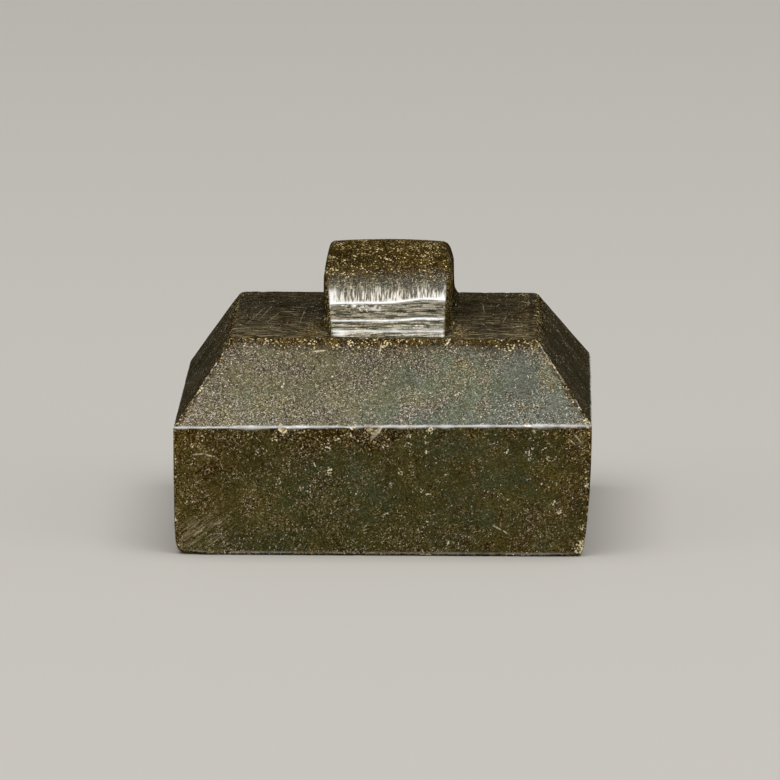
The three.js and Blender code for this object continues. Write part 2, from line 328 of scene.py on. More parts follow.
    # The few deep strokes that stand out in front and on the flat top, each with its middle, the angle
    # it is turned by about y or z, and its half size along each axis.
    strokes = 0
    for middle, turn_y, turn_z, half in (
        ((-0.38, -11.5, 6.8), 52, 0, (0.5, 1.4, 0.15)),
        ((-0.1, -11.5, 7.05), 60, 0, (0.3, 1.4, 0.08)),
        ((6.3, -11.5, 1.6), -30, 0, (0.34, 1.4, 0.06)),
        ((6.75, -11.5, 1.35), -38, 0, (0.2, 1.4, 0.05)),
        ((-10.1, -11.5, 5.62), 5, 0, (0.4, 1.4, 0.06)),
        ((-9.5, -11.5, 5.55), -12, 0, (0.3, 1.4, 0.05)),
        ((10.7, -11.5, 6.6), -50, 0, (0.4, 1.4, 0.05)),
        ((10.4, -11.5, 6.4), -44, 0, (0.3, 1.4, 0.04)),
        ((-3.5, -8.85, 10.95), 4, 0, (0.42, 1.4, 0.06)),
        ((-0.16, -8.7, 11.1), 80, 0, (0.4, 1.4, 0.06)),
        ((-7.3, -0.6, 11.6), 0, 98, (3.6, 0.03, 1.4)),
        ((-6.8, 0.4, 11.6), 0, 97, (3.2, 0.03, 1.4)),
        ((-6.3, -1.0, 11.6), 0, 99, (2.6, 0.03, 1.4)),
        ((-4.7, -0.6, 11.6), 0, 92, (3.2, 0.03, 1.4)),
        ((-5.5, 1.0, 11.6), 0, 2, (0.55, 0.14, 1.4)),
        ((-4.9, 2.6, 11.6), 0, -3, (0.5, 0.12, 1.4)),
        ((5.4, 2.6, 11.6), 0, 88, (1.9, 0.03, 1.4)),
        ((6.6, -1.6, 11.6), 0, 95, (1.6, 0.03, 1.4)),
    ):
        shape = tuple(1 / size for size in half)
        local = place.shifted(tuple(-value for value in middle)).turned((0, turn_y, turn_z)).times(shape)
        away = local.node("ShaderNodeVectorMath", {"operation": "LENGTH"}, {0: local}, output="Value")
        strokes = strokes + (1 - away).between(0.0, 0.5) * (0.8 if turn_z == 0 else 0.3)
    strokes = strokes.limited() * (0.35 + 0.65 * crumbs)
    body = strokes.blend(body, tint(240, 228, 196))

    # Grinding lines: across on the flat top and the knob's facets, along on the lower arch, where they
    # fade upwards one by one.
    filed_across = place.times((0.9, 15, 15)).clouds(1.0, 2, 0.7) * 0.8
    filed_across = filed_across + place.times((0.2, 3, 3)).clouds(1.0) * 0.2
    filed_along = place.times((9, 1.0, 1.0)).clouds(1.0, 3, 0.7) * 0.65
    filed_along = filed_along + place.times((3, 0.5, 0.5)).clouds(1.0) * 0.35
    dashes = place.flecks((1.4, 11, 17)).between(0.35, 0.8)
    across = ground_across * (filed_across.between(0.45, 0.57) * 0.45 + dashes * 0.65) * (0.5 + 0.8 * crumbs)
    streaks = place.times((13, 1.6, 1.6)).clouds(1.0, 1, 0.5).between(0.42, 0.6)
    along = (ground_along + filed_along * 2.4 - 1.2).between(0.3, 1.1) * (ground_along * 4).limited()
    along = along * (0.25 + 0.75 * streaks)
    lines = (across + along).limited()
    body = body.times(1 - 0.78 * (ground_across + ground_along).limited() * (1 - lines))
    body = (lines * 0.38).blend(body, tint(226, 206, 160))

    # Chips show fresh, cream to ochre stone. The arrises are worn, and carry a near-white painted highlight.
    fresh = crumbs.between(0.3, 0.85).blend(tint(120, 88, 38), tint(246, 234, 196))
    broken = (chip + crumbs * 0.9 + mottle * 1.2 - 1.15).between(0.35, 0.6) * (chip * 3).limited()
    body = broken.blend(body, fresh)
    body = (arris_highlight * 0.9).blend(body, tint(238, 240, 240))

    height = sand * 0.8 + grit * 0.3 + dots * 0.6 + cluster * crumbs * 0.8
    height = height - scratch * 0.8 + mottle * 0.5 + lines
    bump = height.node("ShaderNodeBump", {}, {"Height": height, "Strength": 0.6, "Distance": 0.02 * MM})
    bare = (1 - ground_across - ground_along).limited()
    shine = across * across * 2.6 + along * along * 2.3 + 0.09
    gloss = polish * ((0.46 * grit + (0.75 + 2.1 * dense) * bright_grit) * bare + shine)
    gloss = gloss + arris_highlight * 0.95 + (bright_grit + scratch + dots) * 0.04 * (1 - dark_skin_and_shade)
    for name, wire in (("Base Color", body), ("Normal", bump), ("Coat Weight", gloss.limited())):
        tree.links.new(wire.socket, shader.inputs[name])
    shader.inputs["Roughness"].default_value = 0.6
    shader.inputs["Specular IOR Level"].default_value = 0.0
    shader.inputs["Coat Roughness"].default_value = 0.3
    shader.inputs["Coat IOR"].default_value = 3.0
    return material


stone = stone_finish()


# Printing face
# The slab at the foot of the block, whose underside prints. Square spirals are cut into the underside
# inside a plain border. Its lower arris is worn, most of all at the corners.
COLUMNS = 190
CROWDING = 0.25
LEAN = {"left": 0.1, "right": 0.5, "front": 0.15, "back": 0.15}
SLOPE_RUN = {"left": 3.06, "right": 3.06, "front": 3.14, "back": 3.14}
CORNER_RISE = {"front_left": -0.2, "front_right": 0.03, "back_left": -0.25, "back_right": 0.3}
EDGE_RADIUS = {"front_left": 0.4, "front_right": 0.15, "back_left": 0.3, "back_right": 0.25}
FOOT_CURVE = 2.4
MARGIN = 0.5
UNDER_MARGIN = 1.1
BASE_WEAR = 0.17
BASE_WEAR_LIMIT = 0.47
FRONT_LEFT_WEAR = 0.75
BROW_WEAR = 0.12
RIM_WEAR = 0.16
SLOPE_LENGTH = 5.2
SMALLEST_RADIUS = 0.08

face_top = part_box("printing_face")[1].z / MM
block_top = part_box("die_block")[1].z / MM
top_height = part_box("shoulder")[1].z / MM
half_width = 11.5
half_depth = 11.5
brow_height = 7.3


def scatter(cell, seed):
    """A repeatable number from 0 to 1 for each cell of whole numbers: its three coordinates times large
    primes, joined bit by bit, then stirred twice."""
    mixed = (cell[..., 0] * 73856093) ^ (cell[..., 1] * 19349663) ^ (cell[..., 2] * 83492791)
    mixed = mixed ^ (seed * 265443)
    mixed = mixed.astype(np.uint64) & np.uint64(0xFFFFFFFF)
    mixed = ((mixed ^ (mixed >> np.uint64(15))) * np.uint64(2246822519)) & np.uint64(0xFFFFFFFF)
    mixed = ((mixed ^ (mixed >> np.uint64(13))) * np.uint64(3266489917)) & np.uint64(0xFFFFFFFF)
    return (mixed ^ (mixed >> np.uint64(16))).astype(float) / 0xFFFFFFFF


def uneven(points, size, seed):
    """Smooth noise from -1 to 1: a random value at each corner of a grid of cubes, blended between the
    corners by the curve 3t squared less 2t cubed."""
    grid = points / size
    cell = np.floor(grid).astype(np.int64)
    part = grid - cell
    ease = part * part * (3 - 2 * part)
    total = np.zeros(points.shape[:-1])
    for corner in np.ndindex(2, 2, 2):
        weight = np.prod(np.where(np.array(corner) == 1, ease, 1 - ease), axis=-1)
        total += weight * scatter(cell + np.array(corner), seed)
    return 2 * total - 1


def pits(points, size, share, seed):
    """Small round pits, one in each cube of a grid for a share of the cubes. The depth runs from 1 at a
    pit's middle to 0 at its rim, as 1 less the square of the distance over the radius."""
    grid = points / size
    cell = np.floor(grid).astype(np.int64)
    depth = np.zeros(points.shape[:-1])
    for step in np.ndindex(3, 3, 3):
        near = cell + np.array(step) - 1
        middle = np.stack([scatter(near, seed + axis) for axis in range(3)], axis=-1)
        distance = np.linalg.norm(near + middle - grid, axis=-1)
        radius = 0.16 + 0.3 * scatter(near, seed + 3)
        here = np.where(scatter(near, seed + 4) < share, 1 - (distance / radius) ** 2, 0)
        depth = np.maximum(depth, here)
    return depth


def ring(inset, height, radius_less=0.0):
    """One outline of the block, anticlockwise from above. The border of a grid of shares is laid over the
    plan less its insets, and a point nearer a corner than the edge's radius moves out to its circle."""
    left, right = -half_width + inset["left"], half_width - inset["right"]
    front, back = -half_depth + inset["front"], half_depth - inset["back"]
    x = left + (right - left) * border_across
    y = front + (back - front) * border_along
    for name, corner_x, corner_y in (
        ("front_left", left, front),
        ("front_right", right, front),
        ("back_left", left, back),
        ("back_right", right, back),
    ):
        radius = max(EDGE_RADIUS[name] - radius_less, SMALLEST_RADIUS)
        side_x, side_y = np.sign(corner_x), np.sign(corner_y)
        away_x, away_y = x - (corner_x - side_x * radius), y - (corner_y - side_y * radius)
        turned = (side_x * away_x > 0) & (side_y * away_y > 0)
        length = np.where(turned, np.hypot(away_x, away_y), 1)
        x = np.where(turned, corner_x - side_x * radius + radius * away_x / length, x)
        y = np.where(turned, corner_y - side_y * radius + radius * away_y / length, y)
    return np.stack([x, y, height + 0 * x], axis=-1)


def grown(inset, extra):
    """The same insets, each with extra added."""
    return {side: value + extra for side, value in inset.items()}


def brow_level(x, y):
    """Height of the shoulder line, blended between the rises of its four corners by the shares across
    and along."""
    across, along = x / (2 * half_width) + 0.5, y / (2 * half_depth) + 0.5
    front = CORNER_RISE["front_left"] * (1 - across) + CORNER_RISE["front_right"] * across
    back = CORNER_RISE["back_left"] * (1 - across) + CORNER_RISE["back_right"] * across
    return brow_height + front * (1 - along) + back * along


def rounded(points, signed, corner, before, after, width, longer=0.0):
    """Wears an arris round. Near the corner a point moves to the quadratic curve that leaves the surface
    width before the corner and rejoins it width and longer after, with the corner as its handle."""
    reach = width + longer
    share = np.clip((signed + width) / (width + reach), 0, 1)[..., None]
    start = corner - width[..., None] * before
    end = corner + reach[..., None] * after
    curve = (1 - share) ** 2 * start + 2 * share * (1 - share) * corner + share**2 * end
    return np.where(((signed > -width) & (signed < reach))[..., None], curve, points)


def facing(points):
    """Unit normals of a closed strip, from the cross product of its directions round and up."""
    around = np.roll(points, -1, axis=1) - np.roll(points, 1, axis=1)
    upward = np.gradient(points, axis=0)
    normal = np.cross(around, upward)
    return normal / np.maximum(np.linalg.norm(normal, axis=-1, keepdims=True), 1e-9)


def unit(vectors):
    """Each vector divided by its own length."""
    return vectors / np.maximum(np.linalg.norm(vectors, axis=-1, keepdims=True), 1e-9)


def fading(distance, reach):
    """1 at a distance of 0, falling off as e to minus the square of the distance over the reach."""
    return np.exp(-((distance / reach) ** 2))


def spots(points, table, power=2):
    """Round or oval spots, each a middle, a size and a strength, summed. Each falls off as e to minus its
    distance over its size, with that quotient raised to the power."""
    return sum(
        strength * np.exp(-(np.linalg.norm((points - np.array(middle)) / np.array(size), axis=-1) ** power))
        for middle, size, strength in table
    )


def relief(points):
    """How far the hand-ground surface lies under the true one: hollows, waves, ripples and pits."""
    waves = 0.025 * uneven(points, 4.6, 11) + 0.01 * uneven(points, 1.3, 12)
    waves = waves + 0.005 * uneven(points, 0.42, 13)
    return waves - 0.03 - 0.03 * pits(points, 0.85, 0.35, 21) - 0.015 * pits(points, 0.4, 0.4, 31)


def scooped(points, scoops):
    """Chips, each a ragged scoop: a point inside a ball, whose radius varies with noise, moves out to its
    surface. Returns the points, and 1 where a chip has been cut."""
    cut = np.zeros(points.shape[:-1])
    ragged = 1 + 0.35 * uneven(points, 0.16, 71)
    for centre, radius in scoops:
        away = points - centre
        distance = np.linalg.norm(away, axis=-1) * ragged
        inside = distance < radius
        moved = centre + away * (radius / np.maximum(distance, 1e-6))[..., None]
        cut = np.maximum(cut, np.clip((radius - distance) / (0.12 * radius), 0, 1))
        points = np.where(inside[..., None], moved, points)
    return points, cut


# One skin is worked out for the whole outside of the block, from the underside over the walls and the
# slopes to the flat top, so that the three regions cut from it meet exactly.
shares = np.linspace(0, 1, COLUMNS + 1)
shares = shares - CROWDING * np.sin(2 * np.pi * shares) / (2 * np.pi)
border_across = np.concatenate([shares[:-1], np.ones(COLUMNS), shares[:0:-1], np.zeros(COLUMNS)])
border_along = np.concatenate([np.zeros(COLUMNS), shares[:-1], np.ones(COLUMNS), shares[:0:-1]])

# The sharp stone, before any wear: rings at the underside, foot, brow, rim and flat top.
none = {"left": 0.0, "right": 0.0, "front": 0.0, "back": 0.0}
under = ring(grown(LEAN, UNDER_MARGIN), 0.0, MARGIN / 2)
foot = ring(LEAN, 0.0)
brow = ring(none, 0.0)
brow[:, 2] = brow_level(brow[:, 0], brow[:, 1])
rim = ring(SLOPE_RUN, top_height)
flat = ring(grown(SLOPE_RUN, MARGIN), top_height, MARGIN / 2)

# Rows of the skin, as shares of its four stretches: under to foot, foot to brow, brow to rim, rim to flat.
near = np.array([0.0, 0.03, 0.06, 0.09, 0.12, 0.15, 0.19, 0.24, 0.3, 0.38])
near_under = np.concatenate([near, [0.48, 0.6, 0.73, 0.87]])
under_rows = 1 - near_under[:0:-1] / UNDER_MARGIN
low_rows = np.concatenate([near, np.arange(0.48, face_top - 0.05, 0.1)])
middle_rows = np.linspace(face_top, block_top, 46)
high_rows = np.linspace(0, 1, 16)[1:-1] ** 0.7
slope_rows = np.concatenate([
    near / SLOPE_LENGTH, np.linspace(0.095, 0.93, 36), 1 - near[:0:-1] / SLOPE_LENGTH,
])
flat_rows = near / MARGIN


def stretch(low, high, share):
    """Points a share of the way from low to high."""
    return low + (high - low) * share[..., None]


levels = np.concatenate([low_rows, middle_rows])[:, None] + 0 * brow[None, :, 2]
high_levels = block_top + (brow[None, :, 2] - block_top) * high_rows[:, None]
wall_share = np.concatenate([levels, high_levels]) / brow[None, :, 2]
wall = stretch(foot[None], brow[None], wall_share)
wall[..., :2] = stretch(foot[None], brow[None], 1 - (1 - np.clip(wall_share, 0, 1)) ** FOOT_CURVE)[..., :2]
skin_rows = np.concatenate([
    stretch(under[None], foot[None], under_rows[:, None]),
    wall,
    stretch(brow[None], rim[None], slope_rows[:, None]),
    stretch(rim[None], flat[None], flat_rows[:, None]),
])
count_under, count_wall, count_slope = len(under_rows), len(wall_share), len(slope_rows)
on_under = np.arange(len(skin_rows)) < count_under
on_wall = ~on_under & (np.arange(len(skin_rows)) < count_under + count_wall)
on_slope = ~on_under & ~on_wall & (np.arange(len(skin_rows)) < count_under + count_wall + count_slope)
first_middle = count_under + len(low_rows)
first_high = first_middle + len(middle_rows) - 1


def signed_from(corner, after):
    """Distance of each point from a corner line, negative on the rows before it."""
    distance = np.linalg.norm(skin_rows - corner[None], axis=-1)
    return np.where(after[:, None], distance, -distance)


near_corner = np.minimum(
    np.minimum(border_across, 1 - border_across) + np.minimum(border_along, 1 - border_along), 0.5
) * 2 * half_width
from_foot = signed_from(foot, ~on_under)
from_brow = signed_from(brow, ~on_under & ~on_wall)
from_rim = signed_from(rim, ~on_under & ~on_wall & ~on_slope)
along_arris = np.stack([foot[:, 0], foot[:, 1], 0 * foot[:, 0]], axis=-1)
wander = 1 + 0.35 * uneven(along_arris, 1.2, 41) + 0.25 * uneven(along_arris, 0.35, 42)
foot_width = np.minimum((BASE_WEAR + 0.35 * np.exp(-near_corner / 0.8)) * wander, BASE_WEAR_LIMIT)
front_left = fading(foot[:, 0] + half_width, 1.2) * fading(foot[:, 1] + half_depth, 5.0)
foot_width = foot_width + (FRONT_LEFT_WEAR - foot_width) * front_left
corner_wear = 0.3 * front_left
brow_width = (BROW_WEAR + 0.1 * np.exp(-near_corner / 0.4)) * wander
rim_width = (RIM_WEAR + 0.2 * np.exp(-near_corner / 0.5)) * wander

sharp = skin_rows
skin_rows = rounded(
    skin_rows, from_foot, foot[None], unit(foot - under)[None], unit(brow - foot)[None],
    foot_width[None] + 0 * from_foot, corner_wear[None],
)
skin_rows = rounded(
    skin_rows, from_brow, brow[None], unit(brow - foot)[None], unit(rim - brow)[None],
    brow_width[None] + 0 * from_foot,
)
skin_rows = rounded(
    skin_rows, from_rim, rim[None], unit(rim - brow)[None], unit(flat - rim)[None],
    rim_width[None] + 0 * from_foot,
)
base_normals = facing(skin_rows)
hold = np.clip(skin_rows[..., 2] / 0.4, 0, 1)
skin_rows = skin_rows + base_normals * (relief(sharp) * hold)[..., None]

# Chips along the foot, brow, rim and upright corners, at random places but the same ones in every run,
# and a few that are placed.
dice = np.random.default_rng(7)


def chips_along(line, way_out, number, smallest, largest, depth):
    """Scoops centred just outside an arris, at random places along it."""
    scoops = []
    for column in dice.integers(0, len(line), number):
        radius = smallest + (largest - smallest) * dice.random() ** 2.5
        scoops.append((line[column] + way_out[column] * (radius - depth * radius), radius))
    return scoops


out_foot = unit(unit(foot - under) - unit(brow - foot))
out_brow = unit(unit(brow - foot) - unit(rim - brow))
out_rim = unit(unit(rim - brow) - unit(flat - rim))
chips = (
    chips_along(foot, out_foot, 60, 0.1, 0.45, 0.4)
    + chips_along(brow, out_brow, 100, 0.05, 0.3, 0.3)
    + chips_along(rim, out_rim, 110, 0.06, 0.36, 0.3)
)
for corner, side_x, side_y in ((0, -1, -1), (COLUMNS, 1, -1), (2 * COLUMNS, 1, 1), (3 * COLUMNS, -1, 1)):
    for part, up, number in ((on_slope, 0.72, 50), (on_wall, 0.0, 36)):
        edge = sharp[part][:, corner]
        way_out = unit(np.array([side_x, side_y, up]))
        chips += chips_along(edge, way_out + 0 * edge, number, 0.05, 0.2, 0.35)
CORNER_CHIPS = [
    ((11.35, -11.75, 0.35), 0.62),
    ((11.45, -11.7, 0.9), 0.42),
    ((11.6, -11.6, 4.5), 0.32),
    ((2.6, -11.85, 7.2), 0.5),
    ((-0.75, -11.85, 7.15), 0.5),
    ((-1.7, -11.8, 7.3), 0.42),
    ((-5.5, -11.8, 7.1), 0.45),
    ((11.3, -11.7, 7.4), 0.36),
]
chips += [(np.array(centre), radius) for centre, radius in CORNER_CHIPS]
skin_rows, skin_chip = scooped(skin_rows, chips)
skin_normals = facing(skin_rows)

# What is painted on the skin: highlights along the arrises, weathered stain, chips, hatching and grinding
# lines, and painted shade on the side and back slopes.
ragged = 1 + 0.5 * uneven(sharp, 0.5, 51)
wavy = 1 + 0.7 * uneven(sharp, 1.4, 58)
facing_front = np.clip((np.abs(sharp[..., 1]) - np.abs(sharp[..., 0]) + 0.2) / 0.4, 0, 1)
low_slope = fading(from_brow, 2.0)
HATCHES = [
    ((-10.3, -11.5, 1.1), 0.9, 1.0),
    ((-9.1, -11.5, 1.4), 1.0, 0.8),
    ((11.0, -11.5, 6.6), 0.5, 0.5),
    ((-3.0, 11.5, 4.5), 0.7, 0.8),
]
hatched = spots(sharp, HATCHES, 4)


def ground_and_shade_on_top(points):
    """How much of the flat top's side-to-side grinding shows: most in front, almost none behind.
    The lines' fading leaves the back darker, as painted shade.
    """
    return 0.03 + 0.2 * np.clip((2.0 - points[..., 1]) / 9.0, 0, 1)


STAINS = [
    ((-3.0, -11.5, 6.6), (2.6, 2.0, 0.8), 0.8),
    ((-9.8, -11.5, 4.9), (1.3, 2.0, 0.8), 0.6),
    ((9.8, -11.5, 4.2), (1.8, 2.0, 1.7), 0.35),
    ((11.5, 3.0, 5.6), (2.0, 3.4, 1.2), 0.6),
    ((-11.5, -4.0, 3.0), (2.0, 2.6, 1.4), 0.5),
    ((4.0, 11.5, 5.8), (3.0, 2.0, 1.1), 0.6),
]
stained = spots(sharp, STAINS)
CRUMBLED = [
    ((10.95, -11.5, 0.45), 0.38),
    ((11.2, -11.4, 0.7), 0.26),
    ((11.25, -11.5, 4.75), 0.14),
    ((11.25, -11.5, 3.95), 0.14),
    ((10.95, -11.5, 1.6), 0.15),
    ((9.45, -11.5, 3.0), 0.13),
    ((9.7, -11.5, 2.5), 0.12),
    ((2.6, -11.5, 7.05), 0.2),
    ((-5.5, -11.5, 7.0), 0.18),
    ((-5.9, -11.5, 6.45), 0.12),
    ((-1.6, -11.5, 7.3), 0.2),
    ((-2.9, -11.5, 4.75), 0.15),
    ((-4.45, -11.5, 3.7), 0.09),
    ((1.0, -11.5, 4.6), 0.12),
    ((3.6, -11.5, 0.7), 0.14),
    ((3.5, -8.4, 11.45), 0.24),
    ((-1.8, -8.6, 11.4), 0.18),
    ((11.2, -11.3, 7.5), 0.18),
]
crumbled = spots(sharp, [(middle, size, 1.0) for middle, size in CRUMBLED])
from_corner = near_corner[None]
slopes = on_slope[:, None]
# How strong the painted highlight along the brow is, varying along it.
brow_highlight_strength = 0.85 + 0.4 * uneven(sharp, 0.3, 53) + 0.35 * uneven(sharp, 1.6, 55)
corner_band = fading(from_corner, 0.28)
rim_band = fading(from_rim, 0.5 * wavy)
fresh_chip = skin_chip * (0.3 + 0.7 * (uneven(sharp, 0.6, 52) > 0.1)) * (1 - 0.5 * fading(from_rim, 0.6))
skin_paint = {
    # Painted highlights: a bright line along the brow, a faint one just above the foot and broken ones on
    # the hips.
    "arris_highlight": (
        fading(from_brow, 0.075 * ragged) * brow_highlight_strength
        + 0.16 * fading(from_foot - 0.15, 0.05) * (1 + uneven(sharp, 0.5, 59))
        + 0.3 * slopes * fading(from_corner, 0.06) * (uneven(sharp, 0.25, 54) > 0)
    ),
    "stain": (
        0.8 * fading(from_rim, 0.32 * ragged)
        + 0.7 * fading(from_foot, 0.2 * ragged)
        + (0.8 + 0.5 * slopes) * fading(from_corner, 0.25 * ragged)
        + 0.3 * fading(np.minimum(from_brow, 0), 0.9) * (from_brow < -0.08)
        + stained
    ),
    "chip": np.maximum(fresh_chip, crumbled),
    "ground_across": np.clip(from_rim / 0.2, 0, 1) * ground_and_shade_on_top(sharp),
    "ground_along": 0 * from_rim,
    # Near-black over the flat top; on the side and back slopes it is painted shade.
    "dark_skin_and_shade": np.maximum(np.clip(from_rim / 0.15, 0, 1), 0.88 * slopes * (1 - facing_front)),
    "polish": np.where(slopes, 0.04 + facing_front * (0.14 + 0.08 * low_slope), 0.01)
    * ((1 - 0.9 * rim_band) * (1 - 0.8 * corner_band)),
    "tan": (
        (0.95 * rim_band + 0.4 * fading(from_rim, 1.3 * wavy)) * slopes
        + 0.8 * corner_band * slopes
        + 0.3 * on_wall[:, None] * (fading(from_brow, 1.5) + fading(from_corner, 2.2))
        + 0.5 * fading(from_foot, 0.2)
    ),
    "hatch": hatched,
    "worn": 0.8 * fading(sharp[..., 2], 1.6) + 0.4 * fading(from_corner, 1.2),
}


def strip_faces(rows, columns, first=0):
    """Squares between neighbouring rows of a strip that closes on itself."""
    index = first + np.arange(rows * columns).reshape(rows, columns)
    after = np.roll(index, -1, axis=1)
    return np.stack([index[:-1], after[:-1], after[1:], index[1:]], axis=-1).reshape(-1, 4)


def sheet_of(border_first, inner_first):
    """Squares of a level grid whose border is an outline already made and whose inside is new points."""
    index = np.zeros((COLUMNS + 1, COLUMNS + 1), int)
    index[1:-1, 1:-1] = inner_first + np.arange((COLUMNS - 1) ** 2).reshape(COLUMNS - 1, COLUMNS - 1)
    order = border_first + np.arange(4 * COLUMNS).reshape(4, COLUMNS)
    index[:-1, 0] = order[0]
    index[-1, :-1] = order[1]
    index[:0:-1, -1] = order[2]
    index[0, :0:-1] = order[3]
    corners = [index[:-1, :-1], index[1:, :-1], index[1:, 1:], index[:-1, 1:]]
    return np.stack(corners, axis=-1).reshape(-1, 4)


UP = np.array([0.0, 0.0, 1.0])
DOWN = np.array([0.0, 0.0, -1.0])


def vertex_normals(points, squares):
    """Unit normals at the points: each sums the cross products of its squares' diagonals."""
    across = points[squares[:, 2]] - points[squares[:, 0]]
    along = points[squares[:, 3]] - points[squares[:, 1]]
    faces = np.cross(across, along)
    total = np.zeros_like(points)
    for corner in range(4):
        for axis in range(3):
            total[:, axis] += np.bincount(squares[:, corner], faces[:, axis], len(points))
    return unit(total)


def stone_piece(name, points, squares, normals, fans, paint):
    """Makes one closed region of the stone. Fans close its hidden ends, each a ring, its middle and the
    way that it faces. Shading follows the given normals, so that it runs on across the seams."""
    triangles = []
    ways = []
    for outline, way in fans:
        middle = len(points)
        points = np.vstack([points, points[outline].mean(axis=0)])
        normals = np.vstack([normals, way])
        pairs = np.stack([outline, np.roll(outline, -1)], axis=-1)
        if way[2] < 0:
            pairs = pairs[:, ::-1]
        triangles.append(np.column_stack([pairs, np.full(len(pairs), middle)]))
        ways.append(np.tile(way, (3 * len(pairs), 1)))
    mesh = bpy.data.meshes.new(name)
    faces = squares.tolist() + [row for group in triangles for row in group.tolist()]
    mesh.from_pydata((points * MM).tolist(), [], faces)
    mesh.shade_smooth()
    mesh.normals_split_custom_set(np.concatenate([normals[squares.ravel()], *ways]))
    for label, values in paint.items():
        attribute = mesh.attributes.new(label, "FLOAT", "POINT")
        filled = np.zeros(len(points), np.float32)
        filled[: values.size] = np.clip(values, 0, 1).ravel()
        attribute.data.foreach_set("value", filled)
    mesh.materials.append(stone)
    piece = bpy.data.objects.new(name, mesh)
    bpy.context.scene.collection.objects.link(piece)
    return piece


BORDER = 1.3
CROSS = 1.1
GROOVE = 0.9
SPACING = 0.9
GROOVE_DEPTH = 0.6


def spiral_depth(x, y):
    """How deep the square spirals are cut: each quarter is folded onto one, whose strokes are boxes, and
    the depth rises over a short slope at each stroke's edge."""
    middle_x, middle_y = (LEAN["left"] - LEAN["right"]) / 2, (LEAN["front"] - LEAN["back"]) / 2
    across, along = np.abs(x - middle_x) - CROSS / 2, np.abs(y - middle_y) - CROSS / 2
    edge = BASE_WEAR + BORDER + CROSS / 2
    size_x = half_width - (LEAN["left"] + LEAN["right"]) / 2 - edge
    size_y = half_depth - (LEAN["front"] + LEAN["back"]) / 2 - edge
    pitch = GROOVE + SPACING
    path = [(GROOVE / 2, GROOVE / 2)]
    low = GROOVE / 2
    while min(size_x, size_y) - 2 * low >= pitch:
        path += [(size_x - low, low), (size_x - low, size_y - low), (low, size_y - low), (low, low + pitch)]
        low += pitch
    inside = np.full(x.shape, -1.0)
    for (x0, y0), (x1, y1) in zip(path, path[1:]):
        gap_x = np.abs(across - (x0 + x1) / 2) - abs(x1 - x0) / 2
        gap_y = np.abs(along - (y0 + y1) / 2) - abs(y1 - y0) / 2
        inside = np.maximum(inside, GROOVE / 2 - np.maximum(gap_x, gap_y))
    slope = np.clip(inside / 0.14 + 0.5, 0, 1)
    return GROOVE_DEPTH * slope * slope * (3 - 2 * slope)


def level_grid(inset, margin, height):
    """Points of a level sheet inside the outline with these insets, less a margin all round."""
    grid_x, grid_y = np.meshgrid(shares[1:-1], shares[1:-1], indexing="ij")
    low_x, high_x = -half_width + inset["left"] + margin, half_width - inset["right"] - margin
    low_y, high_y = -half_depth + inset["front"] + margin, half_depth - inset["back"] - margin
    x = (low_x + (high_x - low_x) * grid_x).ravel()
    y = (low_y + (high_y - low_y) * grid_y).ravel()
    return np.stack([x, y, height + 0 * x], axis=-1)


sole = level_grid(LEAN, UNDER_MARGIN, 0.0)
cut = spiral_depth(sole[:, 0], sole[:, 1])
uncut = cut < 0.01
floor_of_cut = cut * (1 - 0.12 * (1 + uneven(sole, 0.7, 61)) / 2)
sole[:, 2] = floor_of_cut + 0.012 * uncut * (1 + uneven(sole, 0.8, 62))

rows = first_middle + 2
ring_size = 4 * COLUMNS
points = np.vstack([skin_rows[:rows].reshape(-1, 3), sole])
squares = np.vstack([strip_faces(rows, ring_size), sheet_of(0, rows * ring_size)[:, ::-1]])
normals = vertex_normals(points, squares)
kept = (first_middle + 1) * ring_size
keep_points = np.concatenate([np.arange(kept), np.arange(rows * ring_size, len(points))])
renumber = np.zeros(len(points), int)
renumber[keep_points] = np.arange(len(keep_points))
whole = np.all((squares < kept) | (squares >= rows * ring_size), axis=1)
squares = renumber[squares[whole]]
sole_paint = {
    "stain": np.clip(cut / GROOVE_DEPTH, 0, 1) * 0.8,
    "polish": 0.15 * uncut,
}
face_paint = {
    label: np.concatenate([values[: first_middle + 1].ravel(), sole_paint.get(label, 0 * cut)])
    for label, values in skin_paint.items()
}
seam = first_middle * ring_size + np.arange(ring_size)
printing_face = stone_piece(
    "printing_face_stone", points[keep_points], squares, normals[keep_points],
    [(seam, UP)], face_paint,
)
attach(printing_face, "root")
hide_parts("printing_face")


# Die block
# The square block between the printing face and the shoulder: four upright walls, ground flat by hand.
block_rows = slice(first_middle, first_high + 1)
points = skin_rows[block_rows].reshape(-1, 3)
rows = first_high + 1 - first_middle
squares = strip_faces(rows, ring_size)
block_paint = {label: values[block_rows].ravel() for label, values in skin_paint.items()}
die_block = stone_piece(
    "die_block_stone", points, squares, skin_normals[block_rows].reshape(-1, 3),
    [(np.arange(ring_size), DOWN), ((rows - 1) * ring_size + np.arange(ring_size), UP)],
    block_paint,
)
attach(die_block, "root")
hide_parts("die_block")


# Shoulder
# The last strip of wall, the worn brow, the four slopes and the flat top that carries the knob.
deck = level_grid(SLOPE_RUN, MARGIN, top_height)
deck_x, deck_y = deck[:, 0].copy(), deck[:, 1].copy()
deck[:, 2] += relief(deck)
top_rows = slice(first_high, len(skin_rows))
rows = len(skin_rows) - first_high
points = np.vstack([skin_rows[top_rows].reshape(-1, 3), deck])
squares = np.vstack([
    strip_faces(rows, ring_size),
    sheet_of((rows - 1) * ring_size, rows * ring_size),
])
normals = vertex_normals(points, squares)
normals[: ring_size] = skin_normals[first_high]
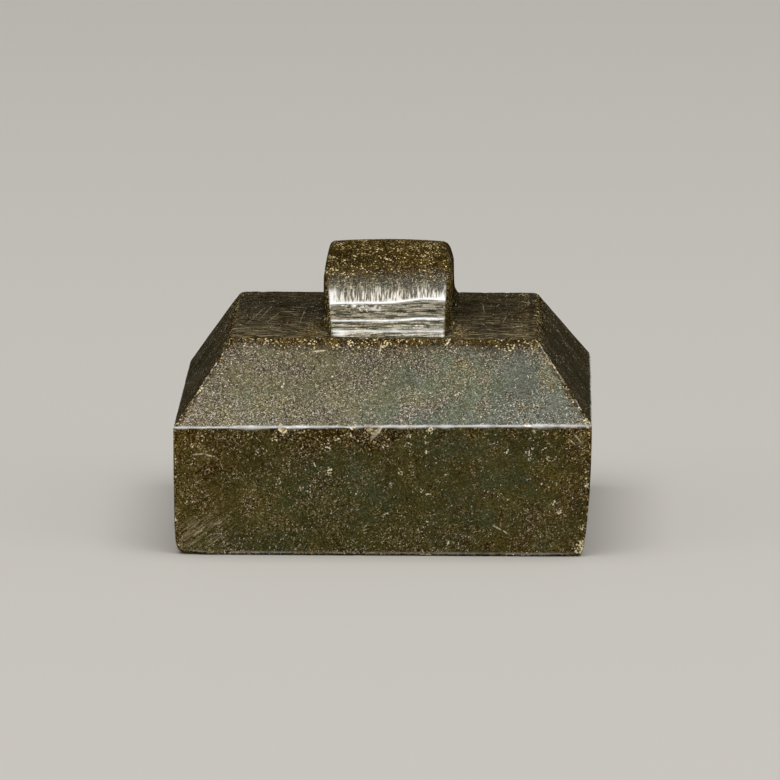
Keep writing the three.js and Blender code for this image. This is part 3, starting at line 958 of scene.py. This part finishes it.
# Beside the knob, in front, the dark skin is thinned and tan and stain are painted in: painted light where
# the flare meets the flat top. The russet towards the right and back is the stone's own colour.
lit_beside_knob = fading(np.abs(deck_x - 0.1) - 4.0, 0.55) * np.clip((-deck_y - 1.0) / 4.0, 0, 1)
russet = fading(deck_x - 8.0, 0.9) + 0.6 * fading(deck_y - 8.0, 1.2)
deck_paint = {
    "ground_across": ground_and_shade_on_top(deck),
    "dark_skin_and_shade": 1 - 0.7 * lit_beside_knob - 0.25 * russet,
    "tan": lit_beside_knob + 0.4 * russet,
    "stain": 0.6 * lit_beside_knob + 0.5 * russet,
    "polish": 0.01 + 0 * deck_x,
}
shoulder_paint = {
    label: np.concatenate([values[top_rows].ravel(), deck_paint.get(label, 0 * deck_x)])
    for label, values in skin_paint.items()
}
shoulder = stone_piece(
    "shoulder_stone", points, squares, normals,
    [(np.arange(ring_size), DOWN)], shoulder_paint,
)
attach(shoulder, "root")
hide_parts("shoulder")


# Bridge knob
# An arch left standing from front to back, with a hole for a cord under it and a stepped foot at each
# end. The arch is filed along its length, and the facets of the feet are ground from side to side.
knob_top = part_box("bridge_knob")[1].z / MM - top_height
KNOB_MIDDLE = 0.24
ARCH_MIDDLE = 0.14
SINK = 0.06
FOOT_SETBACK = 0.5
ARCH_RADIUS = 6.7
RIDGE_RISE = 1.5
RIDGE_TILT = 0.23
STEP_RISE = 0.754
STEP_RUN = 0.75
BAND_RISE = 0.28
BAND_LEAN = 0.26
ARCH_WIDTH = 7.24
CROWN_WIDTH = 6.5
SIDES_RISE = 2.55
FOOT_WIDTH = 6.47
RIDGE_WIDTH = 6.66
FLARE_WIDTH = 7.76
FLARE_RISE = 0.8
HOLE_WIDTH = 6.46
HOLE_LEGS = 0.8
CROWN_THICKNESS = 2.0
CROWN_SAG = 0.12

# Rows of points along the band, the step and the facet of each foot, and over the arch.
FOOT_ROWS = (9, 12, 26)
ARCH_ROWS = 130

knob_reach = half_depth - SLOPE_RUN["front"] - FOOT_SETBACK
arch_centre = knob_top - ARCH_RADIUS


def flight(stops, numbers, first):
    """Rows along the straight stretches between stops, closer together near their ends: a row's place is
    the mean of an even share and half of 1 less that share's cosine. The rows leave out each stretch's
    end, or its start where first is 1."""
    rows = []
    for (y0, z0), (y1, z1), number in zip(stops, stops[1:], numbers):
        even = (np.arange(number) + first) / number
        share = (0.5 * (1 - np.cos(np.pi * even)) / 2 + 0.5 * even)[:, None]
        rows.append(np.stack([y0 + (y1 - y0) * share, z0 + (z1 - z0) * share], axis=-1))
    return rows


def knob_outline(across):
    """The knob's outer outline from the front foot over the arch to the back foot, as heights above the
    flat top, for places across the knob from -1 to 1. Straight stretches run between the foot, the band,
    the step and the ridge, and a round one runs over the top."""
    rise = np.clip((across + 0.05) / 0.7, 0, 1)
    tilt = RIDGE_TILT * rise * rise * (3 - 2 * rise)
    stops = []
    for side in (-1, 1):
        lift = tilt if side < 0 else 0 * tilt
        ridge_rise = RIDGE_RISE + lift
        ridge_reach = np.sqrt(ARCH_RADIUS**2 - (ridge_rise - arch_centre) ** 2)
        band = knob_reach - BAND_LEAN
        stops.append([
            (side * (knob_reach + 0 * tilt), 0 * tilt - SINK),
            (side * (band + 0 * tilt), BAND_RISE + 0.1 * lift),
            (side * (band - STEP_RUN + 0 * tilt), STEP_RISE + 0.67 * lift),
            (side * ridge_reach, ridge_rise),
        ])
    front, back = stops
    turn_front, turn_back = (np.arctan2(z - arch_centre, y) for y, z in (front[-1], back[-1]))
    share = np.linspace(0, 1, ARCH_ROWS)[:, None]
    share = share - 0.1 * np.sin(2 * np.pi * share) / (2 * np.pi)
    turn = turn_front + (turn_back - turn_front) * share
    arch = np.stack([ARCH_RADIUS * np.cos(turn), arch_centre + ARCH_RADIUS * np.sin(turn)], axis=-1)
    return np.concatenate([*flight(front, FOOT_ROWS, 0), arch, *flight(back[::-1], FOOT_ROWS[::-1], 1)])


def hole_outline(turn):
    """The hole's outline along rays that leave the middle of its floor: upright legs, then half an
    ellipse, where the ray's length solves the ellipse's equation."""
    half = HOLE_WIDTH / 2
    rise = knob_top - CROWN_THICKNESS - HOLE_LEGS
    along, up = np.cos(turn), np.sin(turn)
    straight = half / np.maximum(np.abs(along), 1e-6)
    a = (along / half) ** 2 + (up / rise) ** 2
    b = -2 * up * HOLE_LEGS / rise**2
    c = (HOLE_LEGS / rise) ** 2 - 1
    curved = (-b + np.sqrt(np.maximum(b * b - 4 * a * c, 0))) / (2 * a)
    length = np.where(np.abs(straight * up) <= HOLE_LEGS, straight, curved)
    return np.stack([length * along, length * up], axis=-1)


def half_breadth(y, z):
    """Half of the knob's breadth: the lesser of the arch's, which narrows by a power of the height towards
    the crown, and the front foot's, which grows in two straight stretches towards the back. A flare as
    the square of the height still to go is added where the sides meet the flat top."""
    height = np.clip((z - SIDES_RISE) / (knob_top - SIDES_RISE), 0, 1)
    arch = ARCH_WIDTH / 2 - (ARCH_WIDTH - CROWN_WIDTH) / 2 * height**1.3
    flare = (FLARE_WIDTH - ARCH_WIDTH) / 2 * np.clip(1 - z / FLARE_RISE, 0, 1) ** 2
    flare = flare * np.clip((y + 4.6) / 1.6, 0, 1)
    front = np.interp(y, [-knob_reach, -5.3, -3.2], [FOOT_WIDTH / 2, RIDGE_WIDTH / 2, ARCH_WIDTH / 2])
    return np.minimum(arch, front) + flare


def section():
    """The loop round the knob's section, as places across from -1 to 1 and from the hole, 0, to the
    outside, 1. Each corner is a quarter of an ellipse, larger outside than at the hole."""
    outer_across, outer_deep = 0.085, 0.11
    inner_across, inner_deep = 0.04, 0.06
    top = np.linspace(1 - outer_across, -1 + outer_across, 120)[1:-1]
    side = np.linspace(1 - outer_deep, inner_deep, 20)[1:-1]
    floor = np.linspace(-1 + inner_across, 1 - inner_across, 40)[1:-1]

    def corner(quarter, way, middle, across, deep, number):
        angle = (quarter + np.linspace(0, 1, number)) * np.pi / 2
        return np.stack([way * (1 - across) + across * np.cos(angle), middle + deep * np.sin(angle)])

    loop = [
        corner(0, 1, 1 - outer_deep, outer_across, outer_deep, 7),
        np.stack([top, 1 + 0 * top]),
        corner(1, -1, 1 - outer_deep, outer_across, outer_deep, 7),
        np.stack([-1 + 0 * side, side]),
        corner(2, -1, inner_deep, inner_across, inner_deep, 5),
        np.stack([floor, 0 * floor]),
        corner(3, 1, inner_deep, inner_across, inner_deep, 5),
        np.stack([1 + 0 * side, side[::-1]]),
    ]
    return np.concatenate(loop, axis=1)


loop_across, loop_deep = section()
outer = knob_outline(loop_across)
centre_line = knob_outline(np.array([0.0]))[:, 0]
turn = np.arctan2(np.maximum(centre_line[:, 1], 0), centre_line[:, 0])
inner = hole_outline(turn)
inner[0, 1] = inner[-1, 1] = -SINK
side_view = inner[:, None] + (outer - inner[:, None]) * loop_deep[None, :, None]
breadth = half_breadth(side_view[..., 0], side_view[..., 1])
crown = CROWN_SAG * loop_across[None] ** 2 * loop_deep[None] * np.clip(outer[..., 1] / knob_top, 0, 1)
middle_line = np.interp(side_view[..., 0], [-knob_reach, -5.5], [KNOB_MIDDLE, ARCH_MIDDLE])
knob_rows = np.stack([
    middle_line + breadth * loop_across[None],
    side_view[..., 0],
    top_height + side_view[..., 1] - crown,
], axis=-1)
way = facing(knob_rows)
top_middle = (len(way) // 2, 30, 2)
if way[top_middle] < 0:
    way = -way
fade = np.clip((knob_rows[..., 2] - top_height) / 0.25, 0, 1)
knob_rows = knob_rows + way * (relief(knob_rows) * 0.9 * fade)[..., None]
RIDGE_CHIPS = [
    ((-2.25, -5.73, 1.62), 0.32),
    ((-1.8, -5.8, 1.57), 0.37),
    ((-1.35, -5.84, 1.54), 0.4),
    ((-0.9, -5.86, 1.53), 0.41),
    ((-0.5, -5.82, 1.56), 0.38),
    ((-0.15, -5.75, 1.63), 0.31),
]
knob_chips = [(np.array([x, y, z + top_height]), radius) for (x, y, z), radius in RIDGE_CHIPS]
knob_rows, knob_chip = scooped(knob_rows, knob_chips)
chipped_way = facing(knob_rows)
way = chipped_way * np.sign((chipped_way * way).sum(axis=-1, keepdims=True))

steps = np.linalg.norm(np.diff(centre_line, axis=0), axis=-1)
run_along = np.concatenate([[0], np.cumsum(steps)])
band_front, step_front, ridge_front = np.cumsum(FOOT_ROWS)
ridge_back = ridge_front + ARCH_ROWS - 1
step_back, band_back, _ = ridge_back + np.cumsum(FOOT_ROWS[::-1])
# Painted highlights along the edges of each foot's band, step and ridge.
arris_highlight = np.zeros(len(knob_rows))
for row, strength in (
    (band_front, 0.45),
    (step_front, 1.0),
    (ridge_front, 1.0),
    (ridge_back, 1.0),
    (step_back, 1.0),
    (band_back, 0.6),
):
    arris_highlight = np.maximum(arris_highlight, strength * fading(run_along - run_along[row], 0.075))
outside = (loop_deep > 0.97)[None] * (np.abs(loop_across) < 0.97)[None]
row_index = np.arange(len(knob_rows))[:, None]
facet = ((row_index < ridge_front) | (row_index > ridge_back)) * outside
upper_front = (row_index > step_front) & (row_index < ridge_front)
upper_facet = upper_front | ((row_index > ridge_back) & (row_index < step_back))
past_front, before_back = run_along - run_along[ridge_front], run_along[ridge_back] - run_along
arch_low = fading(past_front, 1.35) * (past_front >= 0) + fading(before_back, 1.35) * (before_back >= 0)
flank = 0.7 * (1 - outside) * (loop_deep[None] > 0.1) * np.clip((1.0 - knob_rows[..., 1]) / 5.0, 0, 1)
# Painted glints on the knob: bright spots at its front corners, along the chipped edge under the ridge and
# on the foot band, each a middle, a size and a strength.
PAINTED_GLINTS = [
    ((-3.05, -5.3, 1.6), 0.32, 0.9),
    ((-2.9, -4.9, 1.95), 0.25, 0.5),
    ((3.25, -5.2, 1.85), 0.26, 1.0),
    ((-1.9, -5.6, 1.4), 0.13, 0.7),
    ((-1.65, -5.63, 1.38), 0.13, 0.8),
    ((-1.4, -5.67, 1.35), 0.13, 0.8),
    ((-1.15, -5.72, 1.32), 0.13, 0.8),
    ((-0.9, -5.77, 1.3), 0.13, 0.8),
    ((-0.6, -5.85, 1.26), 0.14, 0.9),
    ((-0.35, -5.95, 1.22), 0.13, 0.8),
    ((3.25, -7.82, 0.12), 0.12, 0.9),
    ((-2.4, -7.8, 0.12), 0.35, 0.5),
    ((-0.6, -5.7, 1.35), 0.16, 0.5),
]
painted_glints = spots(knob_rows - np.array([0.0, 0.0, top_height]), PAINTED_GLINTS)
# How strong the knob's painted highlights are, varying along them.
broken = 1.15 + 0.4 * uneven(knob_rows, 0.5, 56) + 0.3 * uneven(knob_rows, 0.15, 57)
knob_paint = {
    "arris_highlight": (arris_highlight[:, None] * broken + painted_glints) * outside,
    "stain": 0.5 * (1 - outside) * (loop_deep[None] > 0.02) + 0 * arris_highlight[:, None],
    "chip": 0.35 * knob_chip,
    "ground_across": 1.0 * facet,
    "ground_along": arch_low[:, None] * outside,
    "tan": np.maximum(np.clip((knob_rows[..., 2] - top_height - 1.8) / 1.2, 0, 1) * outside, flank),
    "dark_skin_and_shade": np.maximum(0.8 * (1 - outside) - flank, 0),
    "polish": (0.02 + 0.22 * facet + 0.24 * upper_facet + 0.66 * arch_low[:, None]) * outside,
}
loop_size = len(loop_across)
points = knob_rows.reshape(-1, 3)
squares = strip_faces(len(knob_rows), loop_size)
flat_ends = [np.arange(loop_size), (len(knob_rows) - 1) * loop_size + np.arange(loop_size)]
bridge_knob = stone_piece(
    "bridge_knob_stone", points, squares[:, ::-1], way.reshape(-1, 3),
    [(flat_ends[0], DOWN), (flat_ends[1][::-1], DOWN)],
    knob_paint,
)
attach(bridge_knob, "root")
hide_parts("bridge_knob")


# Floor and light
# A plain pale floor that can't be seen from below, a large soft lamp high in front, a weak one at each
# side, and an even surround that is seen and mirrored brighter than it lights.
floor_mesh = bpy.data.meshes.new("floor")
REACH = 4.0
DROP = -0.02 * MM
floor_mesh.from_pydata(
    [(-REACH, -REACH, DROP), (REACH, -REACH, DROP), (REACH, REACH, DROP), (-REACH, REACH, DROP)],
    [], [(0, 1, 2, 3)],
)
floor = bpy.data.objects.new("floor", floor_mesh)
bpy.context.scene.collection.objects.link(floor)
PALE = tint(202, 200, 195)
paper = bpy.data.materials.new("pale_floor")
paper.use_nodes = True
tree = paper.node_tree
surface = tree.nodes["Principled BSDF"]
surface.inputs["Base Color"].default_value = PALE
surface.inputs["Roughness"].default_value = 0.85
surface.inputs["Specular IOR Level"].default_value = 0.1
below = Wire(tree, tree.nodes.new("ShaderNodeNewGeometry").outputs["Backfacing"])
clear = Wire(tree, tree.nodes.new("ShaderNodeBsdfTransparent").outputs[0])
one_sided = below.node("ShaderNodeMixShader", {}, {0: below, 1: Wire(tree, surface.outputs[0]), 2: clear})
tree.links.new(one_sided.socket, tree.nodes["Material Output"].inputs["Surface"])
floor_mesh.materials.append(paper)

world = bpy.data.worlds.new("surround")
bpy.context.scene.world = world
world.use_nodes = True
tree = world.node_tree
sky = tree.nodes["Background"]
rays = tree.nodes.new("ShaderNodeLightPath")
seen = Wire(tree, rays.outputs["Is Camera Ray"])
seen = (seen + seen.other("Is Glossy Ray") + seen.other("Is Transmission Ray")).limited()
strength = 0.2 + seen * 0.4
tree.links.new(strength.socket, sky.inputs["Strength"])
sky.inputs["Color"].default_value = (1.0, 0.985, 0.96, 1.0)


def soft_lamp(name, azimuth, elevation, distance, width, height, power, colour):
    """A rectangular lamp at a place round the seal, facing its middle."""
    lamp = bpy.data.lights.new(name, "AREA")
    lamp.shape = "RECTANGLE"
    lamp.size = width
    lamp.size_y = height
    lamp.energy = power
    lamp.color = colour
    made = bpy.data.objects.new(name, lamp)
    turn, lift = math.radians(azimuth), math.radians(elevation)
    way = Vector((math.sin(turn) * math.cos(lift), -math.cos(turn) * math.cos(lift), math.sin(lift)))
    made.location = Vector((0, 0, 0.008)) + distance * way
    made.rotation_mode = "QUATERNION"
    made.rotation_quaternion = (-way).to_track_quat("-Z", "Y")
    bpy.context.scene.collection.objects.link(made)


soft_lamp("overhead_softbox", 4, 75, 0.8, 1.0, 1.04, 6.9, (1.0, 0.985, 0.96))
soft_lamp("right_fill", 55, 24, 0.9, 0.6, 0.5, 0.85, (1.0, 0.98, 0.95))
soft_lamp("left_fill", -60, 24, 0.9, 0.5, 0.5, 0.65, (1.0, 0.98, 0.95))

bpy.context.scene.view_settings.view_transform = "Standard"
